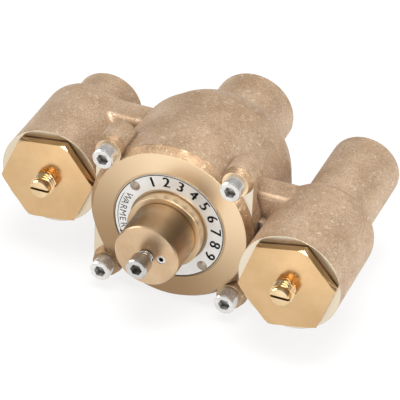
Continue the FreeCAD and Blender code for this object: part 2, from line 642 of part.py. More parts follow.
def adjuster():
    """Adjusting cap, its screws, and the spindle with its clip and seal."""
    cap_length = "cap_face - collar_height - cap_gap"
    blank = turned("cap_blank", [
        ("screw_hole", "0"),
        ("cap_radius - cap_chamfer", "0"),
        ("cap_radius", "cap_chamfer"),
        ("cap_radius", cap_length),
        ("cap_recess", cap_length),
        ("cap_recess", cap_length + " - cap_recess_length"),
        ("spindle_nose + running_gap", cap_length + " - cap_recess_length"),
        ("spindle_nose + running_gap", "cap_wall"),
        ("screw_hole", "cap_wall"),
    ], "0", deep("-cap_face"))
    set_hole = cylinder("set_screw_hole", "set_screw_radius", "set_screw_length + set_screw_sink",
                        "set_screw_offset", deep("-cap_face"), "0")
    keep(cut("cap", blank, set_hole), "adjusting_cap")

    seat = deep("-cap_face - cap_screw_free")
    keep(socket_screw("centre_screw", "0", seat, "0", "cap_screw_length"), "cap_screw")

    set_front = deep("-cap_face + set_screw_sink")
    grub = cylinder("grub", "set_screw_radius", "set_screw_length", "set_screw_offset", set_front, "0")
    key = hexagon("grub_socket", "set_screw_radius / 1.7", "set_screw_radius",
                  "set_screw_offset", set_front, "0")
    keep(cut("grub_screw", grub, key), "cap_set_screw")

    nose = deep("-cap_face + cap_wall + nose_gap")
    origin = "cap_face - cap_wall - nose_gap"
    clip_front = origin + " - collar_height - clip_thickness - 2 * cap_gap"
    clip_back = origin + " - collar_height - cap_gap"
    seal_at = origin + " + joint_depth / 2 - collar_height / 2"
    groove = "journal_radius - seal_gap - ring_wire - seal_gap"
    keep(turned("spindle_bar", [
        ("tapped_hole", "0"),
        ("spindle_nose", "0"),
        ("spindle_nose", clip_front),
        ("clip_groove", clip_front),
        ("clip_groove", clip_back),
        ("journal_radius", clip_back),
        ("journal_radius", seal_at + " - ring_wire / 2 - seal_gap"),
        (groove, seal_at + " - ring_wire / 2 - seal_gap"),
        (groove, seal_at + " + ring_wire / 2 + seal_gap"),
        ("journal_radius", seal_at + " + ring_wire / 2 + seal_gap"),
        ("journal_radius", origin + " + thrust_depth + running_gap"),
        ("thrust_radius", origin + " + thrust_depth + running_gap"),
        ("thrust_radius", origin + " + thrust_depth + running_gap + thrust_length"),
        ("drive_radius", origin + " + thrust_depth + running_gap + thrust_length"),
        ("drive_radius", origin + " + drive_end_depth"),
        ("0", origin + " + drive_end_depth"),
        ("0", "cap_screw_length - cap_screw_free"),
        ("tapped_hole", "cap_screw_length - cap_screw_free"),
    ], "0", nose), "adjusting_spindle")
    keep(turned("clip_ring", [
        ("clip_groove + running_gap", "0"),
        ("clip_radius", "0"),
        ("clip_radius", "clip_thickness"),
        ("clip_groove + running_gap", "clip_thickness"),
    ], "0", deep("-collar_height - clip_thickness - cap_gap * 1.5")), "spindle_clip")
    keep(ring("spindle_ring", "journal_radius - seal_gap - ring_wire / 2", "ring_wire",
              "0", deep("joint_depth / 2 - collar_height / 2"), "0"), "spindle_seal")


def drive():
    """Drive nut guided by two lugs, with its overtravel spring, thrust pad and clip."""
    cup_end = "nut_length + nut_cup_length"
    clip_front = cup_end + " - cup_lip - pad_clip_thickness"
    nut = turned("nut_blank", [
        ("drive_radius + running_gap", "0"),
        ("nut_radius", "0"),
        ("nut_radius", cup_end),
        ("nut_cup", cup_end),
        ("nut_cup", cup_end + " - cup_lip"),
        ("nut_cup + pad_clip_thickness / 2", cup_end + " - cup_lip"),
        ("nut_cup + pad_clip_thickness / 2", clip_front),
        ("nut_cup", clip_front),
        ("nut_cup", "nut_length"),
        ("drive_radius + running_gap", "nut_length"),
    ], "0", deep("nut_depth"))
    lugs = block("nut_lugs", "-lug_reach", deep("nut_depth"), "-lug_width / 2",
                 "2 * lug_reach", "lug_length", "lug_width")
    core = cylinder("nut_core", "nut_radius - running_gap", "lug_length", "0", deep("nut_depth"))
    keep(fused("nut", [nut, cut("nut_lug_pair", lugs, core)]), "drive_nut")
    pad_front = "%s - pad_thickness" % clip_front
    keep(spring("cup_coil", "cup_spring_radius", "cup_spring_wire", pad_front + " - nut_length", 5,
                "0", deep("nut_depth + nut_length"), "0"), "overtravel_spring")
    keep(turned("pad", [
        ("0", "0"),
        ("nut_cup - cap_gap", "0"),
        ("nut_cup - cap_gap", "pad_thickness"),
        ("0", "pad_thickness"),
    ], "0", deep("nut_depth + " + pad_front)), "thrust_pad")
    keep(turned("pad_snap_ring", [
        ("pad_clip_inner", "0"),
        ("nut_cup + pad_clip_thickness / 2 - running_gap", "0"),
        ("nut_cup + pad_clip_thickness / 2 - running_gap", "pad_clip_thickness"),
        ("pad_clip_inner", "pad_clip_thickness"),
    ], "0", deep("nut_depth + " + clip_front)), "pad_clip")
    keep(turned("piston_rod", [
        ("0", "0"),
        ("piston_radius", "0"),
        ("piston_radius", "piston_length"),
        ("0", "piston_length"),
    ], "0", deep("nut_depth + " + clip_front)), "element_piston")


def thermal():
    """Capsule of the thermal element and the shuttle that carries it."""
    neck_end = "neck_length"
    flange_end = "neck_length + element_flange_length"
    bulb_end = flange_end + " + element_bulb_length"
    keep(turned("capsule", [
        ("piston_radius + running_gap", "0"),
        ("element_neck", "0"),
        ("element_neck", neck_end),
        ("element_flange", neck_end),
        ("element_flange", flange_end),
        ("element_bulb", flange_end),
        ("element_bulb", bulb_end + " - element_bulb / 2", "element_bulb / 2"),
        ("element_bulb / 2", bulb_end),
        ("0", bulb_end),
        ("0", "element_bore_length"),
        ("piston_radius + running_gap", "element_bore_length"),
    ], "0", deep("element_depth")), "element_capsule")
    sleeve = turned("shuttle_sleeve", [
        ("shuttle_inner", "0"),
        ("liner_inner - shuttle_gap", "0"),
        ("liner_inner - shuttle_gap", "shuttle_length"),
        ("shuttle_inner", "shuttle_length"),
    ], "0", deep("shuttle_depth"))
    hub_depth = deep("element_depth + " + flange_end)
    hub = cylinder("spider_boss", "spider_hub", "spider_length", "0", hub_depth)
    reach = "liner_inner / 2 + shuttle_inner / 2"
    arms = [block("spider_across", "-(%s)" % reach, hub_depth, "-spider_width / 2",
                  "2 * (%s)" % reach, "spider_length", "spider_width"),
            block("spider_upright", "-spider_width / 2", hub_depth, "-(%s)" % reach,
                  "spider_width", "spider_length", "2 * (%s)" % reach)]
    eye = cylinder("spider_eye", "element_bulb + running_gap", "spider_length", "0", hub_depth)
    spider = cut("spider", fused("spider_solid", [hub] + arms), eye)
    keep(fused("shuttle_whole", [sleeve, spider]), "shuttle")


def cartridge():
    """Fixed liner with its windows and seals, the rear spring seat and the return spring."""
    length = "bore_end_depth - rear_seat_thickness - pilot_depth - liner_front_gap"
    start = "pilot_depth + liner_front_gap"
    outer = "bore_radius - liner_wall_gap"
    floor = "bore_radius - 2 * seal_gap - large_wire"
    outline = [("liner_inner", "0"), (outer, "0")]
    for i in range(2):
        middle = "liner_seal_depth + %d * liner_seal_pitch - %s" % (i, start.replace("+", "-"))
        outline += [
            (outer, middle + " - large_wire / 2 - seal_gap"),
            (floor, middle + " - large_wire / 2 - seal_gap"),
            (floor, middle + " + large_wire / 2 + seal_gap"),
            (outer, middle + " + large_wire / 2 + seal_gap"),
        ]
    outline += [(outer, length), ("liner_inner", length)]
    tube = turned("liner_tube", outline, "0", deep(start))
    windows = []
    for side in ("cold", "hot"):
        depth = deep(side + "_window_depth")
        long_side = side + "_window_length"
        windows.append(block(side + "_windows_across", "-bore_radius", depth, "-window_width / 2",
                             "2 * bore_radius", long_side, "window_width"))
        windows.append(block(side + "_windows_upright", "-window_width / 2", depth, "-bore_radius",
                             "window_width", long_side, "2 * bore_radius"))
    keep(cut("liner", tube, fused("liner_windows", windows)), "liner_sleeve")
    rings = [ring("liner_ring_%d" % i, "bore_radius - seal_gap - large_wire / 2", "large_wire", "0",
                  deep("liner_seal_depth + %d * liner_seal_pitch" % i), "0") for i in range(2)]
    keep(grouped("liner_rings", rings), "liner_seals")

    seat_depth = "bore_end_depth - rear_seat_thickness"
    disc = turned("seat_disc", [
        ("rear_hole_radius", "0"),
        (outer, "0"),
        (outer, "rear_seat_thickness"),
        ("rear_hole_radius", "rear_seat_thickness"),
    ], "0", deep(seat_depth))
    holes = []
    for i in range(8):
        x = "flow_hole_offset * %.4f" % math.cos(math.pi * i / 4)
        z = "flow_hole_offset * %.4f" % math.sin(math.pi * i / 4)
        holes.append(cylinder("flow_hole_%d" % i, "flow_hole_radius", "rear_seat_thickness",
                              x, deep(seat_depth), z))
    keep(cut("rear_seat", disc, fused("flow_holes", holes)), "rear_spring_seat")
    spider_back = "element_depth + neck_length + element_flange_length + spider_length"
    run = "bore_end_depth - rear_seat_thickness - (%s)" % spider_back
    keep(spring("return_coil", "return_coil_radius", "return_wire", run, 4,
                "0", deep(spider_back), "0"), "return_spring")


def check_stop(side, x, front):
    """Hexagonal cap, stop stem, sprung check poppet and their seals for one inlet."""
    hex_front = front + " - washer_thickness - hex_thickness"
    bar = hexagon(side + "_hex_bar", "hex_corner", "hex_thickness", x, hex_front, "0",
                  number(side + "_hex_turn"))
    crown = turned(side + "_hex_crown", [
        ("0", "0"),
        ("hex_corner - hex_chamfer", "0"),
        ("hex_corner", "hex_chamfer * 0.45"),
        ("hex_corner", "hex_thickness"),
        ("0", "hex_thickness"),
    ], x, hex_front)
    head = doc.addObject("Part::Common", side + "_hex_head")
    head.Base = bar
    head.Tool = crown
    skirt = turned(side + "_cap_skirt", [
        ("0", "0"),
        ("cap_bore - cap_thread_gap", "0"),
        ("cap_bore - cap_thread_gap", "washer_thickness + cap_thread_length"),
        ("spring_seat_outer", "washer_thickness + cap_thread_length"),
        ("spring_seat_outer", "washer_thickness + cap_thread_length - spring_seat_length"),
        ("spring_seat_inner", "washer_thickness + cap_thread_length - spring_seat_length"),
        ("spring_seat_inner", "washer_thickness + cap_thread_length"),
        ("0", "washer_thickness + cap_thread_length"),
    ], x, front + " - washer_thickness")
    hole = cylinder(side + "_stem_hole", "stem_radius + running_gap",
                    "hex_thickness + washer_thickness + cap_thread_length", x, hex_front)
    keep(cut(side + "_cap", fused(side + "_cap_solid", [head, skirt]), hole), side + "_check_cap")
    keep(turned(side + "_washer", [
        ("cap_bore", "0"),
        ("washer_radius", "0"),
        ("washer_radius", "washer_thickness"),
        ("cap_bore", "washer_thickness"),
    ], x, front + " - washer_thickness"), side + "_cap_seal")

    ahead = "stem_reach + hex_thickness + washer_thickness"
    collar = ahead + " + cap_thread_length + stem_collar_gap"
    end = ahead + " + stem_end_depth"
    seal_at = ahead + " + stem_seal_depth"
    floor = "stem_radius - stem_wire - seal_gap"
    stem_front = front + " - stem_reach - hex_thickness - washer_thickness"
    rod = turned(side + "_stem_rod", [
        ("0", "0"),
        ("stem_radius - stem_chamfer", "0"),
        ("stem_radius", "stem_chamfer"),
        ("stem_radius", seal_at + " - stem_wire / 2 - seal_gap"),
        (floor, seal_at + " - stem_wire / 2 - seal_gap"),
        (floor, seal_at + " + stem_wire / 2 + seal_gap"),
        ("stem_radius", seal_at + " + stem_wire / 2 + seal_gap"),
        ("stem_radius", collar),
        ("stem_collar", collar),
        ("stem_collar", collar + " + stem_collar_length"),
        ("stem_tube", collar + " + stem_collar_length"),
        ("stem_tube", end),
        ("poppet_guide + running_gap * 3", end),
        ("poppet_guide + running_gap * 3", end + " - stem_bore_length"),
        ("0", end + " - stem_bore_length"),
    ], x, stem_front)
    slot = block(side + "_slot", x + " - stem_radius", stem_front, "-slot_width / 2",
                 "2 * stem_radius", "slot_depth", "slot_width")
    keep(cut(side + "_stem", rod, slot), side + "_stop_stem")
    keep(ring(side + "_stem_ring", "stem_radius - stem_wire / 2", "stem_wire",
              x, front + " + stem_seal_depth", "0"), side + "_stem_seal")

    back = "seat_depth - poppet_seal_gap - poppet_seal_thickness"
    guide_front = "%s + %s - poppet_thickness - poppet_guide_length" % (front, back)
    keep(turned(side + "_poppet", [
        ("0", "0"),
        ("poppet_guide", "0"),
        ("poppet_guide", "poppet_guide_length"),
        ("poppet_radius", "poppet_guide_length"),
        ("poppet_radius", "poppet_guide_length + poppet_thickness"),
        ("0", "poppet_guide_length + poppet_thickness"),
    ], x, guide_front), side + "_check_poppet")
    keep(turned(side + "_rubber", [
        ("0", "0"),
        ("poppet_seal_radius", "0"),
        ("poppet_seal_radius", "poppet_seal_thickness"),
        ("0", "poppet_seal_thickness"),
    ], x, "%s + %s" % (front, back)), side + "_poppet_seal")
    groove = "cap_thread_length - spring_seat_length"
    run = "%s - poppet_thickness - (%s)" % (back, groove)
    keep(spring(side + "_check_coil", "check_coil_radius", "check_wire", run, 6,
                x, "%s + %s" % (front, groove), "0"), side + "_check_spring")


casting()
cover()
dial()
adjuster()
drive()
thermal()
cartridge()
for inlet, axis_x, axis_front, _ in INLETS:
    check_stop(inlet, axis_x, axis_front)
doc.recompute()

failed = [item.Name for item in doc.Objects
          if "Invalid" in item.State or "Error" in item.State]
for piece in parts:
    if piece.Shape.isNull() or not piece.Shape.isValid() or not piece.Shape.Solids:
        failed.append(piece.Label)
if failed:
    raise RuntimeError("not built: " + ", ".join(failed))

os.makedirs("parts", exist_ok=True)
for piece in parts:
    piece.Shape.exportStep("parts/%s.step" % piece.Label)
print("%d sub-parts written" % len(parts))
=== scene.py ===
import logging
import math
from dataclasses import dataclass, field, replace
from enum import Enum
from typing import Any, Sequence

import bpy
from mathutils import Matrix, Vector


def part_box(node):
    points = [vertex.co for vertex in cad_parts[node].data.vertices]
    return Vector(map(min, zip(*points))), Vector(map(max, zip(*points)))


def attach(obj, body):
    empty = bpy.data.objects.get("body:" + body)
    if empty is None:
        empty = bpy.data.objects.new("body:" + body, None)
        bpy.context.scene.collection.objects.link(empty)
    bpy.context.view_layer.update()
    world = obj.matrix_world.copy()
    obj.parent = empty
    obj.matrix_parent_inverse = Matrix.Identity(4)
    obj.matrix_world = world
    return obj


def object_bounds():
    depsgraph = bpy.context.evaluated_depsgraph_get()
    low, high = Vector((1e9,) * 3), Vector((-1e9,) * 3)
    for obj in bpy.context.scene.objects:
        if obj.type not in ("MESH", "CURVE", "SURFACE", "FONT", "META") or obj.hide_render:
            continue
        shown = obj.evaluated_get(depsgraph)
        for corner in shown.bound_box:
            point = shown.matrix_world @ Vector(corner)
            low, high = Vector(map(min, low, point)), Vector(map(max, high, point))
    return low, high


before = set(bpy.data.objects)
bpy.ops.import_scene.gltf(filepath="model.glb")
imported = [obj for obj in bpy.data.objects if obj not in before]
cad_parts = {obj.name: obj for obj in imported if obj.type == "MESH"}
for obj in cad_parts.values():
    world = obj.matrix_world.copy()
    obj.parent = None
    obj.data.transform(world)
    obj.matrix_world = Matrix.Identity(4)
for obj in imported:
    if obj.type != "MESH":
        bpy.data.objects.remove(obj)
CAD_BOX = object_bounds()

LOG = logging.getLogger("mixing_valve")
MM = 0.001
# Cosine past which a face counts as square to Y.
SQUARE_ON = 0.9
# The same for a front that a facing tool has been over.
FACED = 0.97
# Corners of a full circle of print.
ARC_STEPS = 180
# Height of an even triangle over the radius of the circle round it.
TRIANGLE_HEIGHT = 1.5
Point = tuple[float, float, float]


class Side(Enum):
    """The two water inlets, named as their CAD nodes are."""

    HOT = "hot"
    COLD = "cold"


# ---------------------------------------------------------------- small helpers


def linear(code: str) -> tuple[float, float, float, float]:
    """Turn an sRGB hex colour into linear light.

    Args:
        code: Six hex digits, such as "C9A86A".

    Returns:
        Red, green, blue and an alpha of one.
    """
    shares = [int(code[i:i + 2], 16) / 255 for i in (0, 2, 4)]
    straight = [c / 12.92 if c <= 0.04045 else ((c + 0.055) / 1.055) ** 2.4 for c in shares]
    return (straight[0], straight[1], straight[2], 1.0)


def node(tree: bpy.types.NodeTree, kind: str, settings: dict[str, Any] | None = None,
         links: dict[Any, Any] | None = None) -> bpy.types.Node:
    """Add one shader node with its settings and its incoming links.

    Args:
        tree: Node tree that gets the node.
        kind: Node type, such as "ShaderNodeTexNoise".
        settings: Attributes by name, or input sockets by "in:NAME" or an index.
        links: Output sockets by the input name or index that they feed.

    Returns:
        The new node.
    """
    made = tree.nodes.new(kind)
    for name, value in (settings or {}).items():
        if isinstance(name, int):
            made.inputs[name].default_value = value
        elif name.startswith("in:"):
            made.inputs[name[3:]].default_value = value
        else:
            setattr(made, name, value)
    for name, socket in (links or {}).items():
        tree.links.new(socket, made.inputs[name])
    return made


def per_mm(size_mm: float) -> float:
    """Texture scale whose pattern repeats about every size_mm."""
    return 1.0 / (size_mm * MM)


def wave_scale(pitch_mm: float) -> float:
    """Scale of a wave texture whose crests stand pitch_mm apart."""
    return per_mm(pitch_mm) * math.pi / 10


def centre_of(name: str) -> Vector:
    """Middle of a CAD node's box."""
    low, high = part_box(name)
    return (Vector(low) + Vector(high)) / 2


def deselect() -> None:
    """Leave nothing selected."""
    bpy.ops.object.select_all(action="DESELECT")


def choose(piece: bpy.types.Object) -> None:
    """Make one object the only selected and active one.

    Args:
        piece: The object.
    """
    deselect()
    piece.select_set(True)
    bpy.context.view_layer.objects.active = piece


# ---------------------------------------------------------------- finishes


@dataclass(frozen=True)
class Metal:
    """A metal surface: its colours, its gloss, the marks of how it was made, and painted sheen and
    shade.

    Attributes:
        name: Material name, the finish in a maker's words.
        colour: Main colour, sRGB hex.
        shade: Colour of the hollows and stains, sRGB hex.
        roughness: Lowest and highest roughness.
        grain_mm: Size of the finest marks.
        depth_mm: Height of the finest marks.
        cloud_mm: Size of the soft stains.
        metallic: Share of bare metal.
        reach_mm: How far away a wall still adds painted shade to a corner.
        corner_shade: Brightness left in the deepest corners under the painted shade.
        sheen_focus: Narrowness of the painted bright sector of a turned face.
    """

    name: str
    colour: str
    shade: str
    roughness: tuple[float, float] = (0.25, 0.4)
    grain_mm: float = 0.4
    depth_mm: float = 0.01
    cloud_mm: float = 9.0
    metallic: float = 1.0
    reach_mm: float = 3.0
    corner_shade: float = 0.35
    sheen_focus: float = 1.6

    def start(self) -> tuple[bpy.types.Material, bpy.types.Node, bpy.types.Node]:
        """Make the bare material.

        Returns:
            The material, its Principled node and its Object coordinates node.
        """
        material = bpy.data.materials.new(self.name)
        material.use_nodes = True
        tree = material.node_tree
        shader = tree.nodes["Principled BSDF"]
        shader.inputs["Metallic"].default_value = self.metallic
        place = node(tree, "ShaderNodeTexCoord")
        return material, shader, place

    def tint(self, tree: bpy.types.NodeTree, place: bpy.types.Node) -> tuple[Any, Any]:
        """Cloudy change of colour.

        Args:
            tree: The material's nodes.
            place: Its Texture Coordinate node.

        Returns:
            The colour socket and the noise socket behind it.
        """
        cloud = node(tree, "ShaderNodeTexNoise",
                     {"in:Scale": per_mm(self.cloud_mm), "in:Detail": 5.0, "in:Roughness": 0.6},
                     {"Vector": place.outputs["Object"]})
        ramp = node(tree, "ShaderNodeValToRGB", None, {"Fac": cloud.outputs["Fac"]})
        ramp.color_ramp.elements[0].position = 0.32
        ramp.color_ramp.elements[0].color = linear(self.shade)
        ramp.color_ramp.elements[1].position = 0.68
        ramp.color_ramp.elements[1].color = linear(self.colour)
        return ramp.outputs["Color"], cloud.outputs["Fac"]

    def paint_sheen_sector(self, tree: bpy.types.NodeTree, vector: Any, sheen_lean: float) -> Any:
        """Painted sheen: one broad bright sector round Y, as fine turning rings show it under a
        lamp.

        Args:
            tree: The material's nodes.
            vector: Place, counted from the turning axis.
            sheen_lean: Angle of the painted bright sector, clockwise from the top, in degrees.

        Returns:
            A socket from zero in the painted shade to one in the painted sheen.
        """
        level = node(tree, "ShaderNodeVectorMath", {"operation": "MULTIPLY", 1: (1, 0, 1)},
                     {0: vector})
        spoke = node(tree, "ShaderNodeVectorMath", {"operation": "NORMALIZE"},
                     {0: level.outputs["Vector"]})
        way = (math.sin(math.radians(sheen_lean)), 0.0, math.cos(math.radians(sheen_lean)))
        along = node(tree, "ShaderNodeVectorMath", {"operation": "DOT_PRODUCT", 1: way},
                     {0: spoke.outputs["Vector"]})
        share = node(tree, "ShaderNodeMapRange", {"in:From Min": -1.0},
                     {"Value": along.outputs["Value"]})
        narrow = node(tree, "ShaderNodeMath", {"operation": "POWER", 1: self.sheen_focus},
                      {0: share.outputs["Result"]})
        return narrow.outputs[0]

    def paint_corner_shade(self, tree: bpy.types.NodeTree, colour: Any) -> Any:
        """Paint shade into the colour in sockets, slots and corners, where the walls around keep
        light out.

        Args:
            tree: The material's nodes.
            colour: The colour socket.

        Returns:
            The darkened colour socket.
        """
        # Ambient occlusion sets how much painted shade each corner gets.
        open_share = node(tree, "ShaderNodeAmbientOcclusion",
                          {"samples": 8, "only_local": True, "in:Distance": self.reach_mm * MM})
        share = node(tree, "ShaderNodeMapRange",
                     {"in:From Min": 0.25, "in:From Max": 0.8, "in:To Min": self.corner_shade,
                      "in:To Max": 1.0}, {"Value": open_share.outputs["AO"]})
        corner_shaded = node(tree, "ShaderNodeMix",
                      {"data_type": "RGBA", "blend_type": "MULTIPLY", "in:Factor": 1.0},
                      {6: colour, 7: share.outputs["Result"]})
        return corner_shaded.outputs[2]

    def faces_front(self, tree: bpy.types.NodeTree) -> Any:
        """Tell the flats square to Y from the sides round it.

        Args:
            tree: The material's nodes.

        Returns:
            A socket that is one on those flats and zero elsewhere.
        """
        normal = node(tree, "ShaderNodeNewGeometry")
        facing = node(tree, "ShaderNodeSeparateXYZ", None, {0: normal.outputs["True Normal"]})
        size = node(tree, "ShaderNodeMath", {"operation": "ABSOLUTE"}, {0: facing.outputs["Y"]})
        flat = node(tree, "ShaderNodeMath", {"operation": "GREATER_THAN", 1: SQUARE_ON},
                    {0: size.outputs[0]})
        return flat.outputs[0]

    def gloss(self, tree: bpy.types.NodeTree, source: Any, shader: bpy.types.Node) -> None:
        """Let the roughness follow a pattern."""
        spread = node(tree, "ShaderNodeMapRange",
                      {"in:To Min": self.roughness[0], "in:To Max": self.roughness[1]},
                      {"Value": source})
        tree.links.new(spread.outputs["Result"], shader.inputs["Roughness"])


@dataclass(frozen=True)
class SandCast(Metal):
    """Rough bronze as it leaves the sand, bright where a cutter has been over it, with a painted
    sheen on the cut faces.

    Attributes:
        machined: Colour of the cut faces in their painted bright sector, and of the rubbed flecks on
            the skin, sRGB hex.
        machined_painted_shade: Painted shade of the cut faces outside that sector, sRGB hex.
        machined_gloss: Roughness of the cut faces.
        cut_limit: Front-facing flats ahead of this place on Y are cut, in metres.
        cut_radius_mm: Everything nearer to the valve's axis than this is cut.
        tool_pitch_mm: Distance between two rings of the facing tool.
        tool_depth_mm: Depth of those rings.
        edge_mm: Radius that tumbling leaves on the casting's edges.
        lump_mm: Size of the soft lumps in the skin.
        lump_height_mm: Their height.
        sheen_lean: Angle of the painted bright sector of the cut front, in degrees.
    """

    machined: str = "E8DCC8"
    machined_painted_shade: str = "D8C8AE"
    machined_gloss: float = 0.28
    cut_limit: float = 0.0
    cut_radius_mm: float = 0.0
    tool_pitch_mm: float = 1.1
    tool_depth_mm: float = 0.012
    edge_mm: float = 0.6
    lump_mm: float = 3.5
    lump_height_mm: float = 0.12
    sheen_lean: float = 24.0

    def build(self) -> bpy.types.Material:
        """Make the material.

        Returns:
            The finished material.
        """
        material, shader, place = self.start()
        tree = material.node_tree
        mask = self.machined_mask(tree, place)
        cast, grit = self.cast_colour(tree, place)
        # Painted sheen: the cut faces run from a painted highlight sector to painted shade round the
        # axis.
        painted_sheen = self.paint_sheen_sector(tree, place.outputs["Object"], self.sheen_lean)
        cut = node(tree, "ShaderNodeMix", {"data_type": "RGBA", 6: linear(self.machined_painted_shade),
                                           7: linear(self.machined)}, {"Factor": painted_sheen})
        mixed = node(tree, "ShaderNodeMix", {"data_type": "RGBA"},
                     {"Factor": mask, 6: cast, 7: cut.outputs[2]})
        tree.links.new(self.paint_corner_shade(tree, mixed.outputs[2]), shader.inputs["Base Color"])
        rough = node(tree, "ShaderNodeMapRange",
                     {"in:To Min": self.roughness[1], "in:To Max": self.machined_gloss},
                     {"Value": mask})
        tree.links.new(rough.outputs["Result"], shader.inputs["Roughness"])
        metal = node(tree, "ShaderNodeMapRange", {"in:To Min": self.metallic, "in:To Max": 1.0},
                     {"Value": mask})
        tree.links.new(metal.outputs["Result"], shader.inputs["Metallic"])
        tree.links.new(self.relief(tree, place, mask, grit), shader.inputs["Normal"])
        return material

    def cast_colour(self, tree: bpy.types.NodeTree, place: bpy.types.Node) -> tuple[Any, Any]:
        """Colour of the cast skin: soft clouds, dark grains and pale rubbed flecks.

        Args:
            tree: The material's nodes.
            place: Its Texture Coordinate node.

        Returns:
            The colour socket and the grit socket that also drives the relief.
        """
        colour, _ = self.tint(tree, place)
        grit = node(tree, "ShaderNodeTexNoise",
                    {"in:Scale": per_mm(self.grain_mm), "in:Detail": 3.0, "in:Roughness": 0.7},
                    {"Vector": place.outputs["Object"]})
        grains = node(tree, "ShaderNodeMapRange",
                      {"in:From Min": 0.36, "in:From Max": 0.58, "in:To Min": 0.68,
                       "in:To Max": 1.0},
                      {"Value": grit.outputs["Fac"]})
        grained = node(tree, "ShaderNodeMix",
                       {"data_type": "RGBA", "blend_type": "MULTIPLY", "in:Factor": 1.0},
                       {6: colour, 7: grains.outputs["Result"]})
        rubs = node(tree, "ShaderNodeTexNoise",
                    {"in:Scale": per_mm(self.grain_mm * 4), "in:Detail": 6.0, "in:Roughness": 0.8},
                    {"Vector": place.outputs["Object"]})
        flecks = node(tree, "ShaderNodeMapRange",
                      {"in:From Min": 0.56, "in:From Max": 0.7, "in:To Max": 0.8},
                      {"Value": rubs.outputs["Fac"]})
        rubbed = node(tree, "ShaderNodeMix", {"data_type": "RGBA", 7: linear(self.machined)},
                      {"Factor": flecks.outputs["Result"], 6: grained.outputs[2]})
        return rubbed.outputs[2], grit.outputs["Fac"]

    def relief(self, tree: bpy.types.NodeTree, place: bpy.types.Node, mask: Any,
               grit: Any) -> Any:
        """Sand grains and soft lumps on the cast skin, fine tool rings where it is cut.

        Args:
            tree: The material's nodes.
            place: Its Texture Coordinate node.
            mask: One where the casting is cut.
            grit: Pattern of the sand grains.

        Returns:
            The normal socket.
        """
        round_edge = node(tree, "ShaderNodeBevel", {"samples": 4, "in:Radius": self.edge_mm * MM})
        lumps = node(tree, "ShaderNodeTexNoise",
                     {"in:Scale": per_mm(self.lump_mm), "in:Detail": 2.0},
                     {"Vector": place.outputs["Object"]})
        calm = node(tree, "ShaderNodeMath", {"operation": "SUBTRACT", 0: 1.0}, {1: mask})
        swell = node(tree, "ShaderNodeBump", {"in:Distance": self.lump_height_mm * MM},
                     {"Height": lumps.outputs["Fac"], "Strength": calm.outputs[0],
                      "Normal": round_edge.outputs["Normal"]})
        sand = node(tree, "ShaderNodeBump", {"in:Distance": self.depth_mm * MM},
                    {"Height": grit, "Strength": calm.outputs[0],
                     "Normal": swell.outputs["Normal"]})
        rings = node(tree, "ShaderNodeTexWave",
                     {"wave_type": "RINGS", "rings_direction": "Y", "in:Distortion": 0.6,
                      "in:Scale": wave_scale(self.tool_pitch_mm), "in:Detail": 3.0},
                     {"Vector": place.outputs["Object"]})
        scored = node(tree, "ShaderNodeMath", {"operation": "MULTIPLY"},
                      {0: mask, 1: self.faces_front(tree)})
        cut = node(tree, "ShaderNodeBump", {"in:Distance": self.tool_depth_mm * MM},
                   {"Height": rings.outputs["Fac"], "Strength": scored.outputs[0],
                    "Normal": sand.outputs["Normal"]})
        return cut.outputs["Normal"]

    def machined_mask(self, tree: bpy.types.NodeTree, place: bpy.types.Node) -> Any:
        """Tell where a cutter has been over the casting.

        Args:
            tree: The material's nodes.
            place: Its Texture Coordinate node.

        Returns:
            A socket that is one on the cut metal and zero on the cast skin.
        """
        axis = node(tree, "ShaderNodeSeparateXYZ", None, {0: place.outputs["Object"]})
        normal = node(tree, "ShaderNodeNewGeometry")
        facing = node(tree, "ShaderNodeSeparateXYZ", None, {0: normal.outputs["True Normal"]})
        flat = node(tree, "ShaderNodeMath", {"operation": "LESS_THAN", 1: -FACED},
                    {0: facing.outputs["Y"]})
        ahead = node(tree, "ShaderNodeMath", {"operation": "LESS_THAN", 1: self.cut_limit},
                     {0: axis.outputs["Y"]})
        both = node(tree, "ShaderNodeMath", {"operation": "MULTIPLY"},
                    {0: flat.outputs[0], 1: ahead.outputs[0]})
        level = node(tree, "ShaderNodeCombineXYZ", None,
                     {"X": axis.outputs["X"], "Z": axis.outputs["Z"]})
        reach = node(tree, "ShaderNodeVectorMath", {"operation": "LENGTH"},
                     {0: level.outputs["Vector"]})
        near = node(tree, "ShaderNodeMath",
                    {"operation": "LESS_THAN", 1: self.cut_radius_mm * MM},
                    {0: reach.outputs["Value"]})
        either = node(tree, "ShaderNodeMath", {"operation": "MAXIMUM"},
                      {0: both.outputs[0], 1: near.outputs[0]})
        return either.outputs[0]


